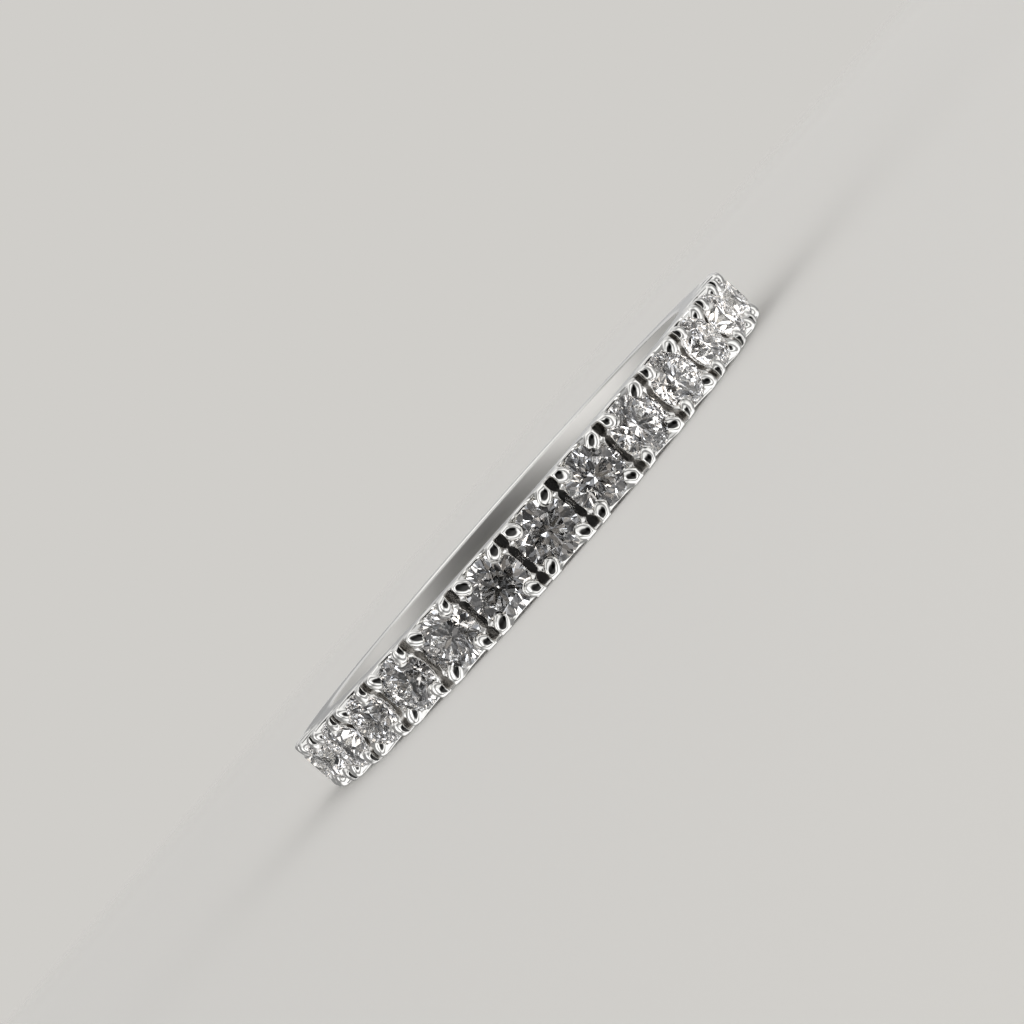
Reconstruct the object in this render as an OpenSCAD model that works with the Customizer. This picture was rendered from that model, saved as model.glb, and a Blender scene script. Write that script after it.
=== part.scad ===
// Half eternity ring. A plain shank with a gently domed outside carries a row of round brilliants
// round its front half. Each stone sits in a box of its own, held by four claws at the box's
// corners, with a narrow saw cut between neighbouring boxes and an open arch under every stone.
// The finger hole lies on the Z axis, with the origin in its middle, and the middle stone faces -Y.
// All sizes are in millimetres.

/* [Finger hole] */
// Inner diameter of the ring
bore_d = 16.9; // [16.5:0.1:18]
// Radius that softens the two edges of the finger hole
bore_edge_r = 0.14; // [0.1:0.02:0.2]

/* [Shank] */
// Width of the band, the same all the way round
band_w = 1.95; // [1.93:0.01:2]
// Thickness at the back, opposite the middle stone
back_t = 1.3; // [1.2:0.05:1.45]
// Rise of the domed outside above its two edges
dome_h = 0.15; // [0.1:0.01:0.2]

/* [Stones] */
// Number of stones in the row, an odd number
stone_count = 15; // [7:2:15]
// Diameter of each round brilliant
stone_d = 1.8; // [1.78:0.01:1.82]
// Gap between the girdles of neighbouring stones
stone_gap = 0.19; // [0.17:0.01:0.21]
// Width of the table, as a share of the diameter
table_share = 0.57; // [0.53:0.01:0.62]
// Height of the crown, as a share of the diameter
crown_share = 0.15; // [0.14:0.005:0.16]
// Thickness of the girdle, as a share of the diameter
girdle_share = 0.025; // [0.022:0.001:0.03]
// Depth of the pavilion, as a share of the diameter
pavilion_share = 0.43; // [0.42:0.005:0.44]

/* [Setting] */
// Thickness of the metal from the finger hole to the top of the boxes
setting_t = 1.55; // [1.5:0.01:1.6]
// Depth of a girdle's upper edge below the top of its box
girdle_drop = 0.02; // [0.01:0.01:0.03]
// Thickness of the rail that runs on below the arches
rail_t = 0.85; // [0.75:0.05:0.9]
// Radius of the round arch under each stone
arch_r = 0.52; // [0.48:0.01:0.54]
// Width of the saw cut between two boxes
slot_w = 0.22; // [0.2:0.01:0.24]
// Depth of the saw cut below the top of the boxes
slot_h = 0.32; // [0.2:0.01:0.38]
// Clearance between a stone and the metal of its seat
seat_gap = 0.02; // [0.015:0.005:0.03]

/* [Claws] */
// Diameter of a claw
claw_d = 0.47; // [0.46:0.01:0.5]
// Height of the claws above the top of the boxes
claw_h = 0.28; // [0.26:0.01:0.32]
// Distance between the two claws that face each other across a saw cut
claw_pair = 0.64; // [0.62:0.01:0.66]
// Distance from a claw's middle to the side of the band
claw_inset = 0.22; // [0.2:0.01:0.23]

/* [Hidden] */
bore_r = bore_d / 2;
box_r = bore_r + setting_t;
claw_top_r = box_r + claw_h;
claw_r = claw_d / 2;
stone_r = stone_d / 2;

// Heights of a stone's levels, measured from the ring's axis
girdle_top = box_r - girdle_drop;
girdle_low = girdle_top - girdle_share * stone_d;
table_level = girdle_top + crown_share * stone_d;
culet_level = girdle_low - pavilion_share * stone_d;

// Angles along the row
pitch = 2 * asin((stone_d + stone_gap) / 2 / girdle_top);
row_half = pitch * stone_count / 2;
claw_turn = pitch / 2 - asin(claw_pair / 2 / claw_top_r);

// The shank's outside is round about an axis moved towards the stones, so that the metal thins
// evenly from the ends of the row to the back
back_r = bore_r + back_t;
shank_shift = (box_r * box_r - back_r * back_r) / (2 * (back_r + box_r * cos(row_half)));
shank_r = back_r + shank_shift;
dome_r = (band_w * band_w / 4 + dome_h * dome_h) / (2 * dome_h);

// Blanks are drawn wider than the band and then sawn to its width
blank_w = band_w + 0.6;
// How far one blank runs into the next, so that they fuse
overlap = 0.3;
// How far a cutting shape runs past what it cuts
past = 1;

// A round brilliant's facets repeat eight times
folds = 8;
fold = 360 / folds;
// Girdle points for each fold
girdle_steps = 4;
girdle_points = folds * girdle_steps;
girdle_step = fold / girdle_steps;
// Length of a star facet and of a lower half facet, as shares of their zone
star_share = 0.5;
lower_half_share = 0.77;
// Each stone is turned a little further about its own axis than the one before it
stone_turn = 17;

// Crown: the star tips lie in the planes of the kites
table_r = table_share * stone_r;
crown_slope = (table_level - girdle_top) / (stone_r - table_r);
star_r = (1 - star_share) * table_r * cos(fold / 2) + star_share * stone_r;
star_level = table_level - crown_slope * (star_r * cos(fold / 2) - table_r);
// Pavilion: the tips of the lower halves lie in the planes of the mains
main_slope = (girdle_low - culet_level) / stone_r;
low_r = (1 - lower_half_share) * stone_r;
low_level = culet_level + main_slope * low_r * cos(fold / 2);
// The girdle is thinner where a half facet runs out over its round edge
bulge = stone_r * (1 - cos(girdle_step));
upper_dip = bulge * (star_level - girdle_top) / ((stone_r - star_r) * cos(girdle_step));
lower_dip = bulge * (girdle_low - low_level) / ((stone_r - low_r) * cos(girdle_step));

function stone_name(i) = str("stone_", i < 10 ? "0" : "", i);
function stone_angle(i) = (i - (stone_count + 1) / 2) * pitch;

// Puts a shape at an angle along the row, with its +Z pointing out of the ring and its +X along
// the row
module on_row(angle) {
    rotate([0, 0, angle]) rotate([90, 0, 0]) children();
}

// Sector of a ring that is centred on the middle stone, between two radii
module sector(inner_r, outer_r, half_angle, width) {
    rotate([0, 0, -90 - half_angle])
        rotate_extrude(angle = 2 * half_angle)
            translate([inner_r, -width / 2]) square([outer_r - inner_r, width]);
}

// Shank blank: a hoop with a domed outside
module shank_blank() {
    translate([0, -shank_shift, 0])
        rotate_extrude()
            intersection() {
                translate([shank_r - dome_r, 0]) circle(r = dome_r, $fn = 200);
                translate([bore_r - past, -blank_w / 2]) square([3 * past, blank_w]);
            }
}

// Hoop with its front half turned down to the level of the boxes
module hoop() {
    difference() {
        shank_blank();
        sector(box_r - overlap, box_r + past, row_half, blank_w + past);
    }
    sector(bore_r - overlap, box_r, row_half + overlap, blank_w);
}

// Shape of the finger hole, flared at both ends
module finger_hole() {
    edge = [for (a = [0:22.5:67.5])
        [bore_r + bore_edge_r * (1 - cos(a)), band_w / 2 - bore_edge_r * (1 - sin(a))]];
    mouth = [edge[3] + [past, past], [0, edge[3][1] + past]];
    half = concat(edge, mouth);
    lower = [for (i = [len(half) - 1:-1:0]) [half[i][0], -half[i][1]]];
    rotate_extrude() polygon(concat(half, lower));
}

// Round arch that opens the metal under a stone from side to side
module arch() {
    translate([0, 0, bore_r + rail_t + arch_r])
        rotate([90, 0, 0]) cylinder(r = arch_r, h = blank_w + past, center = true, $fn = 96);
}

// Saw cut between two boxes
module slot() {
    translate([-slot_w / 2, -blank_w, box_r - slot_h])
        cube([slot_w, 2 * blank_w, slot_h + past]);
}

// One claw: a round wire with a domed tip, rooted in the metal below its stone
module claw() {
    root = bore_r + rail_t + claw_r;
    translate([0, band_w / 2 - claw_inset, 0])
        rotate_extrude($fn = 48) {
            translate([0, root]) square([claw_r, claw_top_r - claw_r - root]);
            intersection() {
                translate([0, claw_top_r - claw_r]) circle(r = claw_r, $fn = 48);
                translate([0, claw_top_r - claw_d]) square([claw_r, claw_d]);
            }
        }
}

// The four claws of a stone
module claws() {
    for (side = [0, 1], end = [-1, 1])
        rotate([0, end * claw_turn, 0]) mirror([0, side, 0]) claw();
}

// Seat of a stone: the stone's own round outline and its clearance
module seat() {
    lift = seat_gap / 2;
    rotate_extrude($fn = 96)
        polygon([
            [0, culet_level - seat_gap],
            [low_r + seat_gap, low_level - lift],
            [stone_r + seat_gap, girdle_low - lift],
            [stone_r + seat_gap, girdle_top + lift],
            [star_r + seat_gap, star_level + lift],
            [table_r + seat_gap, table_level + lift],
            [0, table_level + lift]
        ]);
}

// Band: the shank, the rail, the boxes and the claws are one piece of metal
module band() {
    color("gainsboro")
        intersection() {
            difference() {
                union() {
                    difference() {
                        hoop();
                        for (i = [1:stone_count]) on_row(stone_angle(i)) arch();
                    }
                    for (i = [1:stone_count]) on_row(stone_angle(i)) claws();
                }
                finger_hole();
                for (i = [1:stone_count]) on_row(stone_angle(i)) seat();
                for (i = [0:stone_count]) on_row(stone_angle(i + 0.5)) slot();
            }
            cube([3 * box_r, 3 * box_r, band_w], center = true);
        }
}

// Corner of a stone, from its angle round the stone's axis, its radius and its level
function corner(angle, r, level) = [r * cos(angle), r * sin(angle), level];

// Round brilliant with flat facets
module stone(i) {
    points = concat(
        [for (k = [0:folds - 1]) corner(k * fold, table_r, table_level)],
        [for (k = [0:folds - 1]) corner((k + 0.5) * fold, star_r, star_level)],
        [for (j = [0:girdle_points - 1])
            corner(j * girdle_step, stone_r, girdle_top - (j % 2) * upper_dip)],
        [for (j = [0:girdle_points - 1])
            corner(j * girdle_step, stone_r, girdle_low + (j % 2) * lower_dip)],
        [for (k = [0:folds - 1]) corner((k + 0.5) * fold, low_r, low_level)],
        [corner(0, 0, culet_level)]
    );

    // Where each group of corners starts in the list, in its order
    stars = folds;
    uppers = stars + folds;
    lowers = uppers + girdle_points;
    tips = lowers + girdle_points;
    culet = tips + folds;
    function star(k) = stars + (k + folds) % folds;
    function upper(j) = uppers + j % girdle_points;
    function lower(j) = lowers + j % girdle_points;
    function tip(k) = tips + (k + folds) % folds;

    faces = concat(
        [[for (k = [folds - 1:-1:0]) k]],
        [for (k = [0:folds - 1]) [(k + 1) % folds, star(k), k]],
        [for (k = [0:folds - 1]) [star(k), upper(girdle_steps * k), star(k - 1), k]],
        [for (k = [0:folds - 1], half = [0, 1]) let (j = girdle_steps * k + 2 * half)
            [upper(j + 2), upper(j + 1), upper(j), star(k)]],
        [for (j = [0:girdle_points - 1]) [upper(j), upper(j + 1), lower(j + 1), lower(j)]],
        [for (k = [0:folds - 1], half = [0, 1]) let (j = girdle_steps * k + 2 * half)
            [lower(j), lower(j + 1), lower(j + 2), tip(k)]],
        [for (k = [0:folds - 1]) [tip(k - 1), lower(girdle_steps * k), tip(k), culet]]
    );

    color("aliceblue")
        on_row(stone_angle(i)) rotate([0, 0, i * stone_turn]) polyhedron(points, faces);
}

band();
for (i = [1:stone_count])
    stone(i);
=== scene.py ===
"""Half eternity ring of platinum, with a row of round brilliants in claw settings.

All shapes are worked out in millimetres in the ring's own frame and become metres when a mesh
is made. The finger hole lies on Z, the middle stone faces -Y and the row runs along +X. An
angle along the row is measured from -Y towards +X. A level is a distance from the ring's axis.
"""

import math

import bmesh
import bpy
import numpy as np
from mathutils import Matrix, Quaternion, Vector


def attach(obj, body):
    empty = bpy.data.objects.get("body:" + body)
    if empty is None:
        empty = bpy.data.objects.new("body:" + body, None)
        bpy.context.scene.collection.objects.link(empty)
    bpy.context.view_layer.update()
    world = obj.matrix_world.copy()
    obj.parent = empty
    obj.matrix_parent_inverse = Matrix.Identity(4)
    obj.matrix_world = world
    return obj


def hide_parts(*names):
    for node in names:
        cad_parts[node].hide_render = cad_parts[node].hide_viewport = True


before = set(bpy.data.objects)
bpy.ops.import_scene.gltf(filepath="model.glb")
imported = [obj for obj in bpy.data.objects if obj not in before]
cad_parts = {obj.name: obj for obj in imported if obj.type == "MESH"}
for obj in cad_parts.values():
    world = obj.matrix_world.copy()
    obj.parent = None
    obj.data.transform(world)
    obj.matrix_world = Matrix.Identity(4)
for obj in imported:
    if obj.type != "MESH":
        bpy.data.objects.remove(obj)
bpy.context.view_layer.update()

MM = 0.001
FULL_TURN = 2 * math.pi
# Points that are equal to this many decimals of a millimetre are one, and so are any in a mesh
# that lie closer than this distance in metres
EQUAL_DECIMALS = 5
WELD_DISTANCE = 3e-8
# Faces that meet at more than this many degrees keep a crisp edge between them
SHARP_ANGLE = 38

# Finger hole: its radius, that of its soft edges, and that of its wall's curve across the band
BORE_R = 8.45
BORE_EDGE = 0.14
BORE_CURVE = 4.5
# Its points: on each soft edge, across the wall between them, how far the rows that keep the
# edges crisp lie from them on the wall and on the band's sides, and one more level there
BORE_EDGE_POINTS = 6
BORE_WALL_POINTS = 7
BORE_WALL_HOLD = 0.02
BORE_SIDE_HOLD = 0.03
BORE_SIDE_LEVEL = 8.9

# Band: half its width, the level of the boxes' tops, and the level in the rail up to which one
# section runs all the way round
HALF_W = 0.975
BOX_R = 10.0
RAIL_LEVEL = 9.1
# Radius of the rounded edges along the band's sides, and of those at boxes, arches and saw cuts
SIDE_R = 0.09
EDGE_R = 0.04
# A side has a row of points this far below its edge, and another at this share of its height
HOLD = 0.012
FOOT_SHARE = 0.6

# Row of stones: their number and radius, the gap between two, and the level of the girdles
STONES = 15
STONE_R = 0.9
STONE_GAP = 0.19
GIRDLE_LEVEL = 9.98
PITCH = 2 * math.asin((STONE_R + STONE_GAP / 2) / GIRDLE_LEVEL)
ROW_HALF = PITCH * STONES / 2

# Shank: its thickness at the back and the rise of its domed outside. Its outline is a circle
# whose centre is moved towards the row, so that the metal thins evenly towards the back
BACK_T = 1.3
DOME_H = 0.15
BACK_R = BORE_R + BACK_T
SHANK_SHIFT = (BOX_R**2 - BACK_R**2) / (2 * (BACK_R + BOX_R * math.cos(ROW_HALF)))
SHANK_R = BACK_R + SHANK_SHIFT
DOME_R = (HALF_W**2 + DOME_H**2) / (2 * DOME_H)
# Stations round the shank: distances behind a saw cut of the close ones, number of the even
# ones, and the angles from the cut where these begin and where its wall is no longer followed
SHANK_NEAR = [0, 0.003, 0.009, 0.018, 0.03, 0.06, 0.12, 0.22]
SHANK_STATIONS = 110
SHANK_EVEN = 0.035
SHANK_FOLLOW = 0.1

# Seat of a stone: its gap from the stone, a cone by its radii and levels, its rounded edge, and
# the width over which it blends into the top of its box
SEAT_GAP = 0.02
SEAT_R = STONE_R + SEAT_GAP
SEAT_RADII = [0.0, 0.227, SEAT_R]
SEAT_LEVELS = [9.141, 9.3155, 9.925]
SEAT_EDGE = 0.02
SEAT_BLEND = 0.01

# Arch under a stone: the level of its middle, its depth below that and half its width
ARCH_LEVEL = 9.82
ARCH_R = 0.52
ARCH_X = 0.515
# Points between the outer two of these distances move with the arch's wall, and those between
# the inner two move fully
ARCH_FADE = [0.4, 0.49, 0.55, 0.7]

# Saw cut: half its width, the level of its floor, and the place of a box's wall beside it.
# Points from the last distance on move with that wall
SLOT_HALF = 0.11
SLOT_LEVEL = 9.68
WALL_X = BOX_R * math.sin(PITCH / 2 - math.asin(SLOT_HALF / BOX_R))
WALL_FADE = 0.75
# Shoulder that reaches into a saw cut beside a claw: its reach, place across the band and half
# width
SHOULDER = 0.07
SHOULDER_Z = 0.5
SHOULDER_W = 0.1
# Ramp on a box that rises towards the claws: where it begins and ends across the band, and how
# high it rises
RAMP_FROM = 0.28
RAMP_TO = 0.62
RAMP_RISE = 0.13

# Claw: its radius, the levels of its tip and root, its place across the band, half the distance
# to the claw that faces it across a saw cut, and its angle from the middle of its stone
CLAW_R = 0.235
CLAW_TOP = 10.28
CLAW_ROOT = 9.53
CLAW_Z = 0.755
CLAW_PAIR_HALF = 0.32
CLAW_TURN = PITCH / 2 - math.asin(CLAW_PAIR_HALF / CLAW_TOP)
# Its dome: the height, the radius of the round middle and its extra reach towards the stone,
# the power that flattens it, and how far its top lies towards the corner, along and across
CLAW_DOME = 0.235
CLAW_DOME_R = 0.2
CLAW_DOME_REACH = 0.04
CLAW_POWER = 2.5
CLAW_LEAN = (0.007, 0.01)
# Its outline: the extra radius in the corner and towards the stone, the direction of the stone
# along and across, and the widths over which two limits, and the limits and the rest, blend
CLAW_CORNER = 0.08
CLAW_REACH = 0.13
TO_STONE = (-0.67, -0.74)
LIMIT_BLEND = 0.03
OUTLINE_BLEND = 0.02
# Its least distance from the side, the saw cut and the seat
CLAW_GAP = 0.002
# A line limits the outline in directions with at least this part towards it. In all others
# the limit lies far out
LEAST_PART = 0.05
FAR_OUT = 9
# Crown of a stone beside its girdle, with the claw's clearance: its level there and its slope
CROWN_LEVEL = 9.99
CROWN_SLOPE = 0.8685
# A claw's grid: points round it, rows over the dome, and the levels of the rows below that
CLAW_POINTS = 57
DOME_ROWS = 15
NECK_LEVELS = [10.01, CROWN_LEVEL, 9.93, CLAW_ROOT, CLAW_ROOT]
# Level at which the foot's distance from the seat is worked out
FOOT_LEVEL = 9.95
# Hand work: seed of the chance, spread of the domes' leans, and how far one is pressed down
HAND_SEED = 7
HAND_LEAN = 0.025
HAND_SINK = 0.03


def round_over(distance, radius):
    """Drop of a rounded edge at a distance inside it: the radius less the height of a quarter
    circle, which is the root of the radius squared less the distance left to it squared."""
    left = np.clip(radius - distance, 0, radius)
    return radius - np.sqrt(radius**2 - left**2)


def smooth_min(a, b, width):
    """Lower of two heights. Where they differ by less than a width, the two are mixed by shares
    that follow the difference, less the width times both shares, which rounds the corner."""
    share = np.clip(0.5 + 0.5 * (b - a) / width, 0, 1)
    return b + (a - b) * share - width * share * (1 - share)


def on_ring(angle, level, z):
    """Points of the ring: x is the level times the sine of the angle, y is the level times the
    cosine turned to minus, and z stays as it is."""
    angle, level, z = np.broadcast_arrays(angle, level, z)
    return np.stack([level * np.sin(angle), -level * np.cos(angle), z], axis=-1)


def make_piece(name, grids, material):
    """Joins grids of points whose edges meet into one mesh: equal points become one, each cell
    of a grid becomes two triangles, and triangles without area are left out."""
    cells, points, start = [], [], 0
    for grid in grids:
        rows, cols = grid.shape[:2]
        index = start + np.arange(rows * cols).reshape(rows, cols)
        cells.append(np.stack([index[:-1, :-1], index[:-1, 1:], index[1:, 1:], index[1:, :-1]], -1))
        points.append(grid.reshape(-1, 3))
        start += rows * cols
    points = np.concatenate(points)
    cells = np.concatenate([c.reshape(-1, 4) for c in cells])

    # Adding zero turns a rounded minus zero into zero, which counts as another point
    rounded = np.round(points, EQUAL_DECIMALS) + 0.0
    _, first, same = np.unique(rounded, axis=0, return_index=True, return_inverse=True)
    cells = same.reshape(-1)[cells]
    faces = np.concatenate([cells[:, [0, 1, 2]], cells[:, [0, 2, 3]]])
    real = (faces != np.roll(faces, 1, axis=1)).all(axis=1)
    mesh = bpy.data.meshes.new(name)
    mesh.from_pydata((points[first] * MM).tolist(), [], faces[real].tolist())

    shape = bmesh.new()
    shape.from_mesh(mesh)
    bmesh.ops.remove_doubles(shape, verts=shape.verts, dist=WELD_DISTANCE)
    bmesh.ops.recalc_face_normals(shape, faces=shape.faces)
    shape.to_mesh(mesh)
    shape.free()
    mesh.shade_smooth()
    mesh.set_sharp_from_angle(angle=math.radians(SHARP_ANGLE))
    mesh.materials.append(material)
    piece = bpy.data.objects.new(name, mesh)
    bpy.context.scene.collection.objects.link(piece)
    return piece


def mirrored(half):
    """A line of stations from -end to end, from its half that starts at 0."""
    half = np.array(half)
    return np.concatenate([-half[:0:-1], half])


# Distances from a box's wall of the last stations before it
WALL_STATIONS = np.array([0.03, 0.018, 0.009, 0.003, 0])
# Stations along a box and across the band, closer together where an edge is
ALONG = mirrored(
    [0, 0.09, 0.18, 0.26, 0.33, 0.39, 0.44, 0.475, 0.5]
    + [ARCH_X + d for d in (-0.0015, 0.0015, 0.006, 0.015, 0.03)]
    + [0.6, 0.66, 0.72, 0.78, 0.825]
    + [WALL_X - d for d in WALL_STATIONS]
)
ACROSS = mirrored(
    [0, 0.12, 0.24, 0.34, 0.39, 0.44, 0.5, 0.56, 0.61, 0.67, 0.76, 0.83]
    + [HALF_W - d for d in (0.09, 0.065, 0.045, 0.028, 0.015, 0.006, 0.0015, 0)]
)
# Rings of points on a seat: their radii, and how far each stays away from the box's walls
SEAT_RINGS = np.array(
    [0, 0.1, 0.2, 0.3, 0.4, 0.5, 0.6, 0.7, 0.78, 0.84, 0.88, 0.905, SEAT_R - 0.0006]
)
RING_ROOM = np.array([0.9, 0.7, 0.6, 0.5, 0.4, 0.3, 0.22, 0.15, 0.1, 0.07, 0.045, 0.03, 0.02])
# Distances of the next rings from the seat's edge, and shares of the way from there to the
# wall's stations. On lines shorter than the last length all of them close up
SEAT_STATIONS = np.array([0.0006, 0.004, 0.01, 0.02])
BETWEEN = np.array([0.25, 0.5, 0.75])
SHORT_LINE = 0.1
# Nearer the middle than this, a box's lines run straight across the band
STRAIGHT_X = 0.56


def stone_angle(i):
    """Angle along the row of the middle of stone i, counted from 0."""
    return (i - (STONES - 1) / 2) * PITCH


def side_drop(z):
    """Drop of the rounded edge along the band's two sides."""
    return round_over(HALF_W - np.abs(z), SIDE_R)


def side_flare(z):
    """How far the walls of arches and saw cuts open where they come out at the band's sides."""
    return round_over(HALF_W - np.abs(z), EDGE_R)


def floor_level(z):
    """Level of a saw cut's floor, which drops with the band's rounded sides."""
    return SLOT_LEVEL - side_drop(z)


def bore_level(z):
    """Level of the finger hole's gently domed wall: its radius plus z squared over twice the
    radius of its curve."""
    return BORE_R + z**2 / (2 * BORE_CURVE)


def shoulder(z):
    """How far a box reaches into the saw cut, a smooth bump: one less the square of the
    distance from its middle, as a share of half its width, and the result squared."""
    t = np.clip((np.abs(z) - SHOULDER_Z) / SHOULDER_W, -1, 1)
    return SHOULDER * (1 - t**2) ** 2


def follow_edges(x, z):
    """Moves the stations at an arch's wall outwards and those at a saw cut's wall inwards near
    the band's sides, so that these walls flare there, and the latter outwards at a shoulder."""
    flare = side_flare(z)
    size = np.abs(x)
    arch = np.interp(size, ARCH_FADE, [0, 1, 1, 0])
    wall = np.interp(size, [WALL_FADE, WALL_X], [0, 1])
    return np.sign(x) * (size + flare * arch + (shoulder(z) - flare) * wall)


def box_level(x, z):
    """Level of a box's top at x along the row and z across it, the lowest of three surfaces.
    The first is flat, with smooth ramps up to the claws and rounded edges. The second is the
    arch from side to side: the level of its middle less the height of half an ellipse. The
    third is the stone's seat: the cone's level at the point's distance from the stone's axis,
    over the cosine of the angle along the row, found by going round a few times."""
    size, drop, flare = np.abs(x), side_drop(z), side_flare(z)
    half = ARCH_X + flare
    arch = ARCH_LEVEL - (ARCH_R + drop) * np.sqrt(np.clip(1 - (x / half) ** 2, 0, 1))
    from_seat = np.hypot(x, z) - SEAT_R
    ramp = np.clip((np.abs(z) - RAMP_FROM) / (RAMP_TO - RAMP_FROM), 0, 1)
    flat = BOX_R + RAMP_RISE * ramp**2 * (3 - 2 * ramp)
    flat = flat - round_over(size - half, EDGE_R) - round_over(from_seat, SEAT_EDGE) - drop
    top = np.where(size < half, arch, flat)
    angle = np.arcsin(x / BOX_R)
    seat = np.full(np.shape(x), SEAT_LEVELS[1])
    for _ in range(6):
        reach = np.hypot(seat * np.sin(angle), z)
        seat = np.interp(reach, SEAT_RADII, SEAT_LEVELS) / np.cos(angle)
    seat = np.where(from_seat < 0, seat - drop, BOX_R + 1)
    wall_drop = round_over(WALL_X - flare + shoulder(z) - size, EDGE_R)
    return smooth_min(top, seat, SEAT_BLEND) - wall_drop


def box_top():
    """Top of one box as a polar grid round the stone's axis, as x, z and level. Its lines run
    from the middle over the seat's cone to the seat's edge, and from there straight to a
    station on the box's outline. Next to an arch they run straight across the band."""
    corner = math.atan2(HALF_W, WALL_X)
    sides = ACROSS * corner / HALF_W
    size = np.abs(ALONG)
    turn = np.arccos(np.minimum(size, STRAIGHT_X) / SEAT_R)
    rest = np.clip((size - STRAIGHT_X) / (WALL_X - STRAIGHT_X), 0, 1)
    ends = turn + (corner - turn) * rest
    ends = np.where(ALONG < 0, math.pi - ends, ends)

    angle = np.concatenate([sides, ends[-2::-1], sides[1:] + math.pi, -ends[1:]])
    walls = np.full(len(ACROSS), WALL_X)
    edges = np.full(len(ALONG) - 1, HALF_W)
    edge_x = np.concatenate([walls, ALONG[-2::-1], -walls[1:], ALONG[1:]])
    edge_z = np.concatenate([ACROSS, edges, -ACROSS[1:], -edges])

    limit = WALL_X - RING_ROOM
    x = SEAT_RINGS[:, None] * np.cos(angle)
    z = SEAT_RINGS[:, None] * np.sin(angle)
    x = np.clip(x, -limit[:, None], limit[:, None])

    start_x = np.clip(SEAT_R * np.cos(angle), -limit[-1], limit[-1])
    start_z = SEAT_R * np.sin(angle)
    length = np.hypot(edge_x - start_x, edge_z - start_z)
    scale = np.minimum(1, length / SHORT_LINE)
    near = SEAT_STATIONS[:, None] * scale / length
    far = 1 - WALL_STATIONS[:, None] * scale / length
    between = near[-1] + (far[0] - near[-1]) * BETWEEN[:, None]
    share = np.concatenate([near, between, far])
    x = np.concatenate([x, start_x + (edge_x - start_x) * share])
    z = np.concatenate([z, start_z + (edge_z - start_z) * share])

    x = follow_edges(x, z)
    return x, z, box_level(x, z)


def shank_level(angle, z):
    """Level of the shank's outside, from the ring's axis: the shift of its centre times the
    cosine of the angle, plus the root of its radius squared less the shift times the sine
    squared. The radius is the domed section's, and the rounded edges are taken off."""
    section = SHANK_R - DOME_R + np.sqrt(DOME_R**2 - z**2)
    level = SHANK_SHIFT * np.cos(angle) + np.sqrt(section**2 - (SHANK_SHIFT * np.sin(angle)) ** 2)
    first = ROW_HALF + (SLOT_HALF + side_flare(z)) / BOX_R
    from_cut = BOX_R * np.minimum(angle - first, FULL_TURN - first - angle)
    return level - side_drop(z) - round_over(from_cut, EDGE_R)


def shank_surface():
    """Angles and levels of the shank's outside, one row across the band for each station round
    it. The stations lie close together behind the saw cuts at both ends, where they follow the
    cuts' flared walls, and evenly between."""
    first = ROW_HALF + SLOT_HALF / BOX_R
    last = FULL_TURN - first
    near = np.array(SHANK_NEAR) / BOX_R
    evenly = np.linspace(first + SHANK_EVEN, last - SHANK_EVEN, SHANK_STATIONS)
    stations = np.concatenate([first + near, evenly, last - near[::-1]])
    ends = [first, first + SHANK_FOLLOW, last - SHANK_FOLLOW, last]
    follow = np.interp(stations, ends, [1, 0, 0, -1])
    angle = stations[:, None] + follow[:, None] * side_flare(ACROSS) / BOX_R
    return angle, shank_level(angle, ACROSS)


def side_grids(angle, top):
    """The band's two sides below an outer edge, as rows from the edge down to the rail. At both
    ends the middle rows meet the floor of a saw cut."""
    foot = RAIL_LEVEL + FOOT_SHARE * (top - HOLD - RAIL_LEVEL)
    foot[[0, -1]] = floor_level(HALF_W)
    rows = np.stack([top, top - HOLD, foot, foot - HOLD, np.full_like(top, RAIL_LEVEL)])
    return [on_ring(angle, rows, side * HALF_W) for side in (1, -1)]


def cut_grids(middle, before, before_top, after, after_top):
    """One saw cut, from the top of the wall before it over its floor to the top of the wall
    after it, and the band's two sides below the floor."""
    floor = floor_level(ACROSS)
    middles = np.full(len(ACROSS), middle)
    angle = np.stack([before, before, before, middles, after, after, after])
    before_rows = [before_top, before_top - HOLD]
    after_rows = [after_top - HOLD, after_top]
    level = np.stack([*before_rows, floor, floor, floor, *after_rows])
    ends = np.array([before[-1], middle, after[-1]])
    low = np.full(3, floor[-1])
    rows = np.stack([low, low - HOLD, np.full(3, RAIL_LEVEL)])
    sides = [on_ring(ends, rows, side * HALF_W) for side in (1, -1)]
    return [on_ring(angle, level, ACROSS), *sides]


def hole_grid(side_angles):
    """Rail and finger hole: one section across the band, carried all the way round through the
    angles of the points on the band's sides. Its edges are quarter circles."""
    turn = np.linspace(0, math.pi / 2, BORE_EDGE_POINTS)
    arc_z = HALF_W - BORE_EDGE * (1 - np.sin(turn))
    arc_level = bore_level(arc_z[0]) + BORE_EDGE * (1 - np.cos(turn))
    side_levels = [arc_level[-1] + BORE_SIDE_HOLD, BORE_SIDE_LEVEL, RAIL_LEVEL]
    section_level = np.concatenate([arc_level, side_levels])
    section_z = np.concatenate([arc_z, np.full(len(side_levels), HALF_W)])
    flat = arc_z[0] - BORE_WALL_HOLD
    middle_z = np.linspace(-flat, flat, BORE_WALL_POINTS)
    section_level = np.concatenate([section_level[::-1], bore_level(middle_z), section_level])
    section_z = np.concatenate([-section_z[::-1], middle_z, section_z])
    # Angles that agree to nine decimals of a radian are one
    around = np.unique(np.round(np.concatenate(side_angles) % FULL_TURN, 9))
    around = np.append(around, around[0] + FULL_TURN)
    return on_ring(around[:, None], section_level, section_z)


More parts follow.
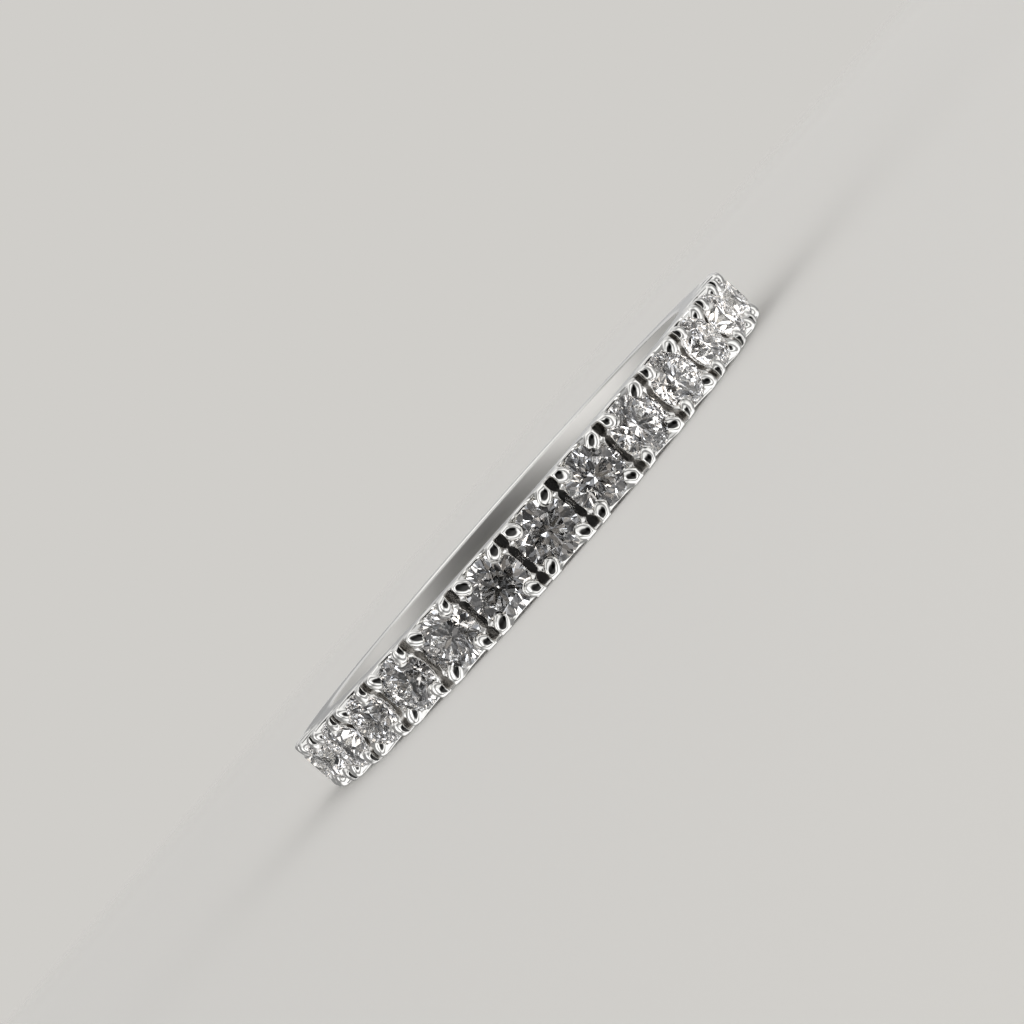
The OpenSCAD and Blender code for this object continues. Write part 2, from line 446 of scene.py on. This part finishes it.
def band_grids():
    """All grids of the band's body. They share their edge points, so they close to one solid."""
    shank, shank_top = shank_surface()
    grids = [on_ring(shank, shank_top, ACROSS)]
    side_angles = []

    x, z, level = box_top()
    edge_x = follow_edges(ALONG, np.full(len(ALONG), HALF_W))
    edge = np.arcsin(edge_x / BOX_R)
    edge_top = box_level(edge_x, np.full(len(ALONG), HALF_W))
    for i in range(STONES):
        middle = stone_angle(i)
        grids.append(on_ring(middle + np.arcsin(x / BOX_R), level, z))
        grids += side_grids(middle + edge, edge_top)
        side_angles.append(middle + edge)

    wall = np.arcsin(follow_edges(np.full(len(ACROSS), WALL_X), ACROSS) / BOX_R)
    wall_top = box_level(BOX_R * np.sin(wall), ACROSS)
    for i in range(STONES + 1):
        cut = (i - STONES / 2) * PITCH
        before, before_top = cut - PITCH / 2 + wall, wall_top
        after, after_top = cut + PITCH / 2 - wall, wall_top
        if i == 0:
            before, before_top = shank[-1] - FULL_TURN, shank_top[-1]
        if i == STONES:
            after, after_top = shank[0], shank_top[0]
        grids += cut_grids(cut, before, before_top, after, after_top)
        side_angles.append(np.array([cut]))

    grids += side_grids(shank[:, -1], shank_top[:, -1])
    side_angles.append(shank[:, -1])
    grids.append(hole_grid(side_angles))
    return grids


def towards_stone(along, across):
    """How much a direction from a claw's axis points to its stone: the product of the two
    directions where it is above zero."""
    return np.clip(TO_STONE[0] * along + TO_STONE[1] * across, 0, 1)


def line_limit(distance, part):
    """Radius at which a direction meets a straight line: the line's distance over the part of
    the direction that points to it. Where that part is small the line is far out."""
    return np.where(part > LEAST_PART, distance / np.maximum(part, LEAST_PART), FAR_OUT)


def claw_outline(along, across, cut):
    """Radius of a claw's outline at a direction, given by its part along the row, towards the
    saw cut, and its part across, towards the band's side. It is the claw's radius, and more
    towards the stone, by the square of how much the direction points there, and into the
    corner, by the fourth power. It stays within the saw cut's wall and the band's side."""
    corner = np.clip((along + across) / math.sqrt(2), 0, 1)
    stone = towards_stone(along, across)
    free = CLAW_R + CLAW_CORNER * corner**4 + CLAW_REACH * stone**2
    side_limit = line_limit(HALF_W - CLAW_Z - CLAW_GAP, across)
    limit = smooth_min(side_limit, line_limit(cut, along), LIMIT_BLEND)
    return np.minimum(free, smooth_min(free, limit, OUTLINE_BLEND))


def claw_shape():
    """One claw as a closed grid round its own axis: places along the row and across it, levels,
    and how free each point is to lean, from 0 at the crown's level and the outline to 1 at the
    top. The top is a flat dome: the share of the radius is a power of the sine of the rise and
    the share of the height is the same power of its cosine. The radius is the share times a
    mix of the round middle and the outline by the share cubed, so that the middle stays round.
    The claw rests on its stone, and its foot stands clear of the seat."""
    around = np.linspace(0, FULL_TURN, CLAW_POINTS)
    rise = np.linspace(0, math.pi / 2, DOME_ROWS)
    across, along = np.sin(around), np.cos(around)

    share = np.sin(rise) ** (2 / CLAW_POWER)
    dome_level = CLAW_TOP - CLAW_DOME + CLAW_DOME * np.cos(rise) ** (2 / CLAW_POWER)
    share = np.concatenate([share, [1, 1, 1, 1, 0]])[:, None]
    level = np.concatenate([dome_level, NECK_LEVELS])[:, None]
    cut = level * math.sin(PITCH / 2 - CLAW_TURN) - SLOT_HALF - CLAW_GAP
    inner = CLAW_DOME_R + CLAW_DOME_REACH * towards_stone(along, across) ** 2
    radius = share * (inner + share**3 * (claw_outline(along, across, cut) - inner))

    # Below the crown the foot ends where a line from the claw's axis meets the seat's circle
    axis_x = FOOT_LEVEL * math.sin(CLAW_TURN)
    seat = SEAT_R + CLAW_GAP
    towards = axis_x * along + CLAW_Z * across
    inside = towards**2 - (axis_x**2 + CLAW_Z**2 - seat**2)
    meets = (towards < 0) & (inside > 0)
    to_seat = np.where(meets, -towards - np.sqrt(np.maximum(inside, 0)), FAR_OUT)
    foot = level <= CROWN_LEVEL
    radius = np.where(foot, np.minimum(radius, to_seat), radius)

    # The dome's top lies a little towards the corner
    above = np.clip((level - CROWN_LEVEL) / (CLAW_TOP - CROWN_LEVEL), 0, 1)
    free = above * (1 - share**2)
    u = radius * along + free * CLAW_LEAN[0]
    w = radius * across + free * CLAW_LEAN[1]
    level = np.broadcast_to(level, u.shape)

    # A point of the dome over the stone is lifted to the crown's surface and its clearance
    x = level * math.sin(CLAW_TURN) + u * math.cos(CLAW_TURN)
    height = level * math.cos(CLAW_TURN) - u * math.sin(CLAW_TURN)
    reach = np.hypot(x, CLAW_Z + w)
    crown = CROWN_LEVEL + CROWN_SLOPE * (SEAT_R - reach)
    lift = np.where((reach < SEAT_R) & ~foot, np.maximum(crown - height, 0), 0)
    return u, w, level + lift, free


def claw_grids():
    """All claws, four to a stone. They are set by hand, so that no two are quite alike: the
    dome of each leans its own way and is pressed down by its own amount."""
    u, w, level, free = claw_shape()
    chance = np.random.default_rng(HAND_SEED)
    grids = []
    for i in range(STONES):
        for end in (1, -1):
            turn = stone_angle(i) + end * CLAW_TURN
            for side in (1, -1):
                lean_u, lean_w = chance.normal(0, HAND_LEAN, 2)
                sink = chance.uniform(0, HAND_SINK)
                own_u = u + free * lean_u
                own_w = w + free * lean_w
                own_level = level - free * sink
                px = own_level * math.sin(turn) + end * own_u * math.cos(turn)
                py = -own_level * math.cos(turn) + end * own_u * math.sin(turn)
                grids.append(np.stack([px, py, side * (CLAW_Z + own_w)], axis=-1))
    return grids


def linear(code):
    """Turns an sRGB hex colour to linear values."""
    part = np.array([int(code[k : k + 2], 16) for k in (1, 3, 5)]) / 255
    value = np.where(part <= 0.04045, part / 12.92, ((part + 0.055) / 1.055) ** 2.4)
    return (*value.tolist(), 1.0)


def add_node(tree, kind, links=None, values=None, **settings):
    """Adds a node, sets its properties and input values, and links outputs to its inputs."""
    made = tree.nodes.new(kind)
    for name, value in settings.items():
        setattr(made, name, value)
    for name, value in (values or {}).items():
        made.inputs[name].default_value = value
    for name, output in (links or {}).items():
        tree.links.new(output, made.inputs[name])
    return made


def new_material(name):
    """Empty node material, and its node tree."""
    material = bpy.data.materials.new(name)
    material.use_nodes = True
    material.node_tree.nodes.clear()
    return material, material.node_tree


def platinum():
    """Cast and soldered platinum, polished on felt wheels: a pale neutral mirror with fine
    hairlines from wear, a little softer in patches where it has been handled."""
    material, tree = new_material("polished_platinum")
    where = add_node(tree, "ShaderNodeTexCoord")
    # Hairlines, 26 to a millimetre and 0.3 mm long, coarser than real ones so that they show
    stretch = add_node(
        tree, "ShaderNodeMapping", {"Vector": where.outputs["Object"]},
        {"Scale": (1.0, 1.0, 0.12), "Rotation": (0.3, 0.5, 0.2)},
    )
    hairs = add_node(
        tree, "ShaderNodeTexNoise", {"Vector": stretch.outputs["Vector"]},
        {"Scale": 26 / MM, "Detail": 3.0, "Roughness": 0.6},
    )
    # Handling marks about 2.4 mm across, between nearly a mirror and a slight haze
    patches = add_node(
        tree, "ShaderNodeTexNoise", {"Vector": where.outputs["Object"]},
        {"Scale": 0.42 / MM, "Detail": 2.0},
    )
    gloss = add_node(
        tree, "ShaderNodeMapRange", {"Value": patches.outputs["Fac"]},
        {"From Min": 0.3, "From Max": 0.7, "To Min": 0.035, "To Max": 0.085},
    )
    # The wheel leaves faint waves about 3 mm long, so that a flat side isn't one even tone
    waves = add_node(
        tree, "ShaderNodeTexNoise", {"Vector": where.outputs["Object"]},
        {"Scale": 0.33 / MM, "Detail": 1.0},
    )
    wavy = add_node(
        tree, "ShaderNodeBump", {"Height": waves.outputs["Fac"]},
        {"Strength": 1.0, "Distance": 0.06 * MM},
    )
    bump = add_node(
        tree, "ShaderNodeBump", {"Height": hairs.outputs["Fac"], "Normal": wavy.outputs["Normal"]},
        {"Strength": 0.12, "Distance": 0.004 * MM},
    )
    surface = add_node(
        tree, "ShaderNodeBsdfPrincipled",
        {"Roughness": gloss.outputs["Result"], "Normal": bump.outputs["Normal"]},
        {"Base Color": linear("#E4E3E0"), "Metallic": 1.0},
    )
    add_node(tree, "ShaderNodeOutputMaterial", {"Surface": surface.outputs["BSDF"]})
    return material


def satin_platinum_painted_light():
    """Platinum of the finger hole, turned on a felt cone: fine lines run round the hole, and
    spread what they mirror across it into a soft white sheen. Its colour is painted lighter
    than the polished metal's, as painted light that brightens the hole."""
    material, tree = new_material("satin_platinum_painted_light")
    where = add_node(tree, "ShaderNodeTexCoord")
    round_hole = add_node(
        tree, "ShaderNodeVectorMath", {0: where.outputs["Object"]}, {1: (0.0, 0.0, 1.0)},
        operation="CROSS_PRODUCT",
    )
    # Lines, 40 to a millimetre across the hole and about 6 mm long
    stretch = add_node(
        tree, "ShaderNodeMapping", {"Vector": where.outputs["Object"]},
        {"Scale": (0.004, 0.004, 1.0)},
    )
    lines = add_node(
        tree, "ShaderNodeTexNoise", {"Vector": stretch.outputs["Vector"]},
        {"Scale": 40 / MM, "Detail": 2.0},
    )
    bump = add_node(
        tree, "ShaderNodeBump", {"Height": lines.outputs["Fac"]},
        {"Strength": 0.25, "Distance": 0.004 * MM},
    )
    surface = add_node(
        tree, "ShaderNodeBsdfPrincipled",
        {"Normal": bump.outputs["Normal"], "Tangent": round_hole.outputs["Vector"]},
        {
            # Base colour painted lighter than the polished metal's, as painted light in the finger
            # hole
            "Base Color": linear("#ECEAE6"), "Metallic": 1.0, "Roughness": 0.38,
            "Anisotropic": 0.85,
        },
    )
    add_node(tree, "ShaderNodeOutputMaterial", {"Surface": surface.outputs["BSDF"]})
    return material


def sawn_platinum_painted_shade():
    """Platinum in the saw cuts, left as the blade made it: fine grooves run across the band,
    where no wheel reaches. They break up what it mirrors, and its colour is painted darker than
    the polished metal beside it, as painted shade in the cuts."""
    material, tree = new_material("sawn_platinum_painted_shade")
    where = add_node(tree, "ShaderNodeTexCoord")
    # Grooves, 22 to a millimetre, coarser than a real blade's so that they show
    stretch = add_node(
        tree, "ShaderNodeMapping", {"Vector": where.outputs["Object"]},
        {"Scale": (1.0, 1.0, 0.08)},
    )
    grooves = add_node(
        tree, "ShaderNodeTexNoise", {"Vector": stretch.outputs["Vector"]},
        {"Scale": 22 / MM, "Detail": 2.0},
    )
    bump = add_node(
        tree, "ShaderNodeBump", {"Height": grooves.outputs["Fac"]},
        {"Strength": 0.6, "Distance": 0.02 * MM},
    )
    surface = add_node(
        tree, "ShaderNodeBsdfPrincipled", {"Normal": bump.outputs["Normal"]},
        # Base colour painted darker than the polished metal's, as painted shade in the saw cuts
        {"Base Color": linear("#D0CECB"), "Metallic": 1.0, "Roughness": 0.08},
    )
    add_node(tree, "ShaderNodeOutputMaterial", {"Surface": surface.outputs["BSDF"]})
    return material


def diamond():
    """Cut and polished diamond: clear, flat facets with a very high index, which turns most of
    the light back inside the stone."""
    material, tree = new_material("polished_diamond")
    # The plain mirror on its faces is turned down, which leaves the facets below it crisp
    surface = add_node(
        tree, "ShaderNodeBsdfPrincipled", None,
        {
            "Base Color": linear("#FCFDFF"), "Roughness": 0.0, "IOR": 2.417,
            "Transmission Weight": 1.0, "Specular Tint": linear("#A0A0A0"),
        },
    )
    add_node(tree, "ShaderNodeOutputMaterial", {"Surface": surface.outputs["BSDF"]})
    return material


def floor_finish():
    """Matt pale cloth on the table top, which fades into the backdrop 90 to 300 mm away."""
    material, tree = new_material("matt_pale_table")
    where = add_node(tree, "ShaderNodeTexCoord")
    far = add_node(
        tree, "ShaderNodeVectorMath", {0: where.outputs["Object"]}, operation="LENGTH"
    )
    fade = add_node(
        tree, "ShaderNodeMapRange", {"Value": far.outputs["Value"]},
        {"From Min": 90 * MM, "From Max": 300 * MM}, interpolation_type="SMOOTHERSTEP",
    )
    cloth = add_node(
        tree, "ShaderNodeBsdfDiffuse", None, {"Color": linear("#EFEDE9"), "Roughness": 1.0}
    )
    clear = add_node(tree, "ShaderNodeBsdfTransparent")
    mixed = add_node(
        tree, "ShaderNodeMixShader",
        {0: fade.outputs["Result"], 1: cloth.outputs["BSDF"], 2: clear.outputs["BSDF"]},
    )
    add_node(tree, "ShaderNodeOutputMaterial", {"Surface": mixed.outputs["Shader"]})
    return material


# Places of the finishes on the band's faces: how far the satin, painted lighter, runs up the finger
# hole's soft edges, how far the sawn metal with its painted shade runs past a cut's floor and
# walls, and how near the flat sides
SATIN_PAST = 0.02
SAWN_PAST_FLOOR = 0.01
SAWN_PAST_WALL = 0.004
SAWN_TO_SIDE = 0.001


def finish_faces(band):
    """Gives each face of the band its finish by the place of its middle: satin painted lighter in
    the finger hole, sawn metal painted darker as shade in the saw cuts, and polished elsewhere."""
    faces = band.data.polygons
    spots = np.empty(len(faces) * 3)
    faces.foreach_get("center", spots)
    x, y, z = spots.reshape(-1, 3).T / MM
    level = np.hypot(x, y)
    # Place along the row, where the saw cuts are the whole numbers
    place = np.arctan2(x, -y) / PITCH + STONES / 2
    from_cut = np.abs(place - np.round(place)) * PITCH * BOX_R
    in_row = (place > -0.5) & (place < STONES + 0.5) & (np.abs(z) < HALF_W - SAWN_TO_SIDE)
    on_floor = level > SLOT_LEVEL - SIDE_R - SAWN_PAST_FLOOR
    # Faces of the saw cuts, which get the sawn metal and its painted shade
    sawn = in_row & on_floor & (from_cut < SLOT_HALF + SAWN_PAST_WALL)
    # Faces of the finger hole, which get the satin metal and its painted light
    satin = level < bore_level(HALF_W - BORE_EDGE) + SATIN_PAST
    faces.foreach_set("material_index", (satin + 2 * sawn).astype(np.int32))


platinum_finish = platinum()
diamond_finish = diamond()

band = make_piece("band_body", band_grids(), platinum_finish)
band.data.materials.append(satin_platinum_painted_light())
band.data.materials.append(sawn_platinum_painted_shade())
finish_faces(band)
claws = make_piece("claws", claw_grids(), platinum_finish)
for piece in (band, claws):
    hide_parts("band")
    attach(piece, "root")

for name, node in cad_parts.items():
    if name.startswith("stone"):
        node.material_slots[0].material = diamond_finish

# Table top: a disc, by the radii of its rings and its points round, just under the ring
TABLE_RINGS = [0, 5, 10, 15, 25, 40, 60, 90, 140, 200, 320]
TABLE_POINTS = 97
TABLE_Z = -HALF_W - 0.002

rings = np.array(TABLE_RINGS)[:, None]
turns = np.linspace(0, FULL_TURN, TABLE_POINTS)
disc = np.broadcast_arrays(rings * np.cos(turns), rings * np.sin(turns), TABLE_Z)
table = make_piece("table_top", [np.stack(disc, axis=-1)], floor_finish())
# Mirrored light and light through a stone come from the studio below in place of the table
table.visible_glossy = False
table.visible_transmission = False

# Studio light. Each softbox has a direction, full and faded angle in degrees, and a strength
ROOM_LIGHT = 0.3
SOFTBOXES = (
    ((0.0, -0.45, 1.0), 28, 64, 0.85),
    ((-1.0, -0.4, 0.3), 16, 34, 1.5),
    ((1.0, -0.25, 0.1), 14, 40, 1.0),
    ((0.0, -0.25, -1.0), 50, 80, 1.15),
    ((0.3, 1.0, 0.9), 20, 50, 0.5),
)
# Dark cards round the camera, as direction, full and faded angle, and the light they let by
CARDS = (
    ((-0.031, -0.998, -0.09), 33, 47),
    ((0.55, -0.8, 0.12), 14, 26),
)
CARD_LIGHT = 0.05
# Dark frame between the cards and the softboxes: its direction, the angles between which it
# lies, the light it lets by, and the softness of its edges in degrees
FRAME = ((-0.031, -0.998, -0.03), 60, 76, 0.3)
FRAME_SOFT = 2
# What the stones show: the room as patches about 7 degrees wide, with dark and pale values as
# lowest, span and power, and its dark side as direction, full and faded angle
ROOM_PATCHES = 8.0
ROOM_DARK = (0.004, 0.42, 3.4)
ROOM_PALE = (0.7, 2.6, 1.5)
DARK_SIDE = ((-0.34, -1.0, 0.05), 56, 68)
# Brighter part of that room, at one end of the row: direction, full and faded angle, factor
BRIGHT_SIDE = ((0.85, -0.53, 0.05), 22, 52, 1.6)


def glow(tree, ray, towards, inner, outer, low, high):
    """Value that goes smoothly from high within an inner angle of a direction to low beyond an
    outer one, by the cosine of the angle between the ray and that direction."""
    size = math.sqrt(sum(v * v for v in towards))
    facing = add_node(
        tree, "ShaderNodeVectorMath", {0: ray}, {1: [v / size for v in towards]},
        operation="DOT_PRODUCT",
    )
    return add_node(
        tree, "ShaderNodeMapRange", {"Value": facing.outputs["Value"]},
        {
            "From Min": math.cos(math.radians(outer)), "From Max": math.cos(math.radians(inner)),
            "To Min": low, "To Max": high,
        },
        interpolation_type="SMOOTHSTEP",
    ).outputs["Result"]


def room_in_stones(tree, ray):
    """Brightness and colour of the room as the stones gather it. Each patch has its own value
    from 0 to 1, and its brightness is the lowest one plus the span times that value raised to
    a power: dark on the camera's side, pale beyond and brighter still at one end of the row. A
    second value sets its colour between warm and cool."""
    patches = add_node(
        tree, "ShaderNodeTexVoronoi", {"Vector": ray}, {"Scale": ROOM_PATCHES}
    )
    chance = add_node(tree, "ShaderNodeSeparateColor", {0: patches.outputs["Color"]})
    levels = []
    for lowest, span, power in (ROOM_DARK, ROOM_PALE):
        raised = add_node(
            tree, "ShaderNodeMath", {0: chance.outputs[0]}, {1: power}, operation="POWER"
        )
        levels.append(
            add_node(
                tree, "ShaderNodeMath", {0: raised.outputs[0]}, {1: span, 2: lowest},
                operation="MULTIPLY_ADD",
            ).outputs[0]
        )
    side = glow(tree, ray, *DARK_SIDE, 1.0, 0.0)
    level = add_node(tree, "ShaderNodeMix", {0: side, 2: levels[0], 3: levels[1]})
    towards, inner, outer, factor = BRIGHT_SIDE
    brighter = glow(tree, ray, towards, inner, outer, 1.0, factor)
    level = add_node(
        tree, "ShaderNodeMath", {0: level.outputs[0], 1: brighter}, operation="MULTIPLY"
    )
    colour = add_node(
        tree, "ShaderNodeMix", {0: chance.outputs[1]},
        {6: linear("#FFF3E4"), 7: linear("#F4F8FF")}, data_type="RGBA",
    )
    return add_node(
        tree, "ShaderNodeBackground", {"Color": colour.outputs[2], "Strength": level.outputs[0]}
    )


def studio():
    """World light: a pale room with softboxes, dark cards round the camera and a dark frame
    round the cards. The camera itself sees an even pale backdrop."""
    world = bpy.data.worlds.new("studio")
    bpy.context.scene.world = world
    world.use_nodes = True
    tree = world.node_tree
    tree.nodes.clear()
    ray = add_node(tree, "ShaderNodeTexCoord").outputs["Generated"]
    total = None
    for towards, inner, outer, high in SOFTBOXES:
        part = glow(tree, ray, towards, inner, outer, 0.0, high)
        if total is not None:
            part = add_node(tree, "ShaderNodeMath", {0: total, 1: part}, operation="ADD").outputs[0]
        total = part
    total = add_node(
        tree, "ShaderNodeMath", {0: total}, {1: ROOM_LIGHT}, operation="ADD"
    ).outputs[0]
    for towards, inner, outer in CARDS:
        card = glow(tree, ray, towards, inner, outer, 1.0, CARD_LIGHT)
        total = add_node(
            tree, "ShaderNodeMath", {0: total, 1: card}, operation="MULTIPLY"
        ).outputs[0]
    towards, near, far, low = FRAME
    within = glow(tree, ray, towards, near - FRAME_SOFT, near + FRAME_SOFT, 0.0, 1.0)
    beyond = glow(tree, ray, towards, far - FRAME_SOFT, far + FRAME_SOFT, 1.0, 0.0)
    open_part = add_node(
        tree, "ShaderNodeMath", {0: within, 1: beyond}, operation="MAXIMUM"
    ).outputs[0]
    frame_light = add_node(
        tree, "ShaderNodeMath", {0: open_part}, {1: 1 - low, 2: low}, operation="MULTIPLY_ADD"
    ).outputs[0]
    total = add_node(
        tree, "ShaderNodeMath", {0: total, 1: frame_light}, operation="MULTIPLY"
    ).outputs[0]
    light = add_node(
        tree, "ShaderNodeBackground", {"Strength": total}, {"Color": linear("#FFFFFF")}
    )
    gathered = room_in_stones(tree, ray)
    backdrop = add_node(
        tree, "ShaderNodeBackground", None, {"Color": linear("#D0CECA"), "Strength": 1.0}
    )
    path = add_node(tree, "ShaderNodeLightPath")
    mixed = add_node(
        tree, "ShaderNodeMixShader",
        {0: path.outputs["Is Transmission Ray"], 1: light.outputs[0], 2: gathered.outputs[0]},
    )
    mixed = add_node(
        tree, "ShaderNodeMixShader",
        {0: path.outputs["Is Camera Ray"], 1: mixed.outputs[0], 2: backdrop.outputs[0]},
    )
    add_node(tree, "ShaderNodeOutputWorld", {"Surface": mixed.outputs["Shader"]})


studio()

# Camera: close to the ring, a little above its middle, rolled so that the row rises to the right
CAMERA_AT = Vector((-1.643, -52.429, 2.817)) * MM
CAMERA_AIM = Vector((-0.247, -10.25, 1.067)) * MM
CAMERA_ROLL = math.radians(-48.59)
FOCAL_LENGTH = 56.25

lens = bpy.data.cameras.new("camera")
lens.lens = FOCAL_LENGTH
lens.sensor_width = 36.0
lens.clip_start = 0.001
lens.clip_end = 5.0
camera = bpy.data.objects.new("camera", lens)
camera.location = CAMERA_AT
camera.rotation_mode = "QUATERNION"
camera.rotation_quaternion = (CAMERA_AIM - CAMERA_AT).to_track_quat("-Z", "Y") @ Quaternion(
    (0, 0, 1), CAMERA_ROLL
)
bpy.context.scene.collection.objects.link(camera)
bpy.context.scene.camera = camera

bpy.context.scene.view_settings.view_transform = "Standard"
# Light is turned back many times inside a brilliant
cycles = bpy.context.scene.cycles
cycles.max_bounces = 32
cycles.glossy_bounces = 24
cycles.transmission_bounces = 24
cycles.transparent_max_bounces = 16
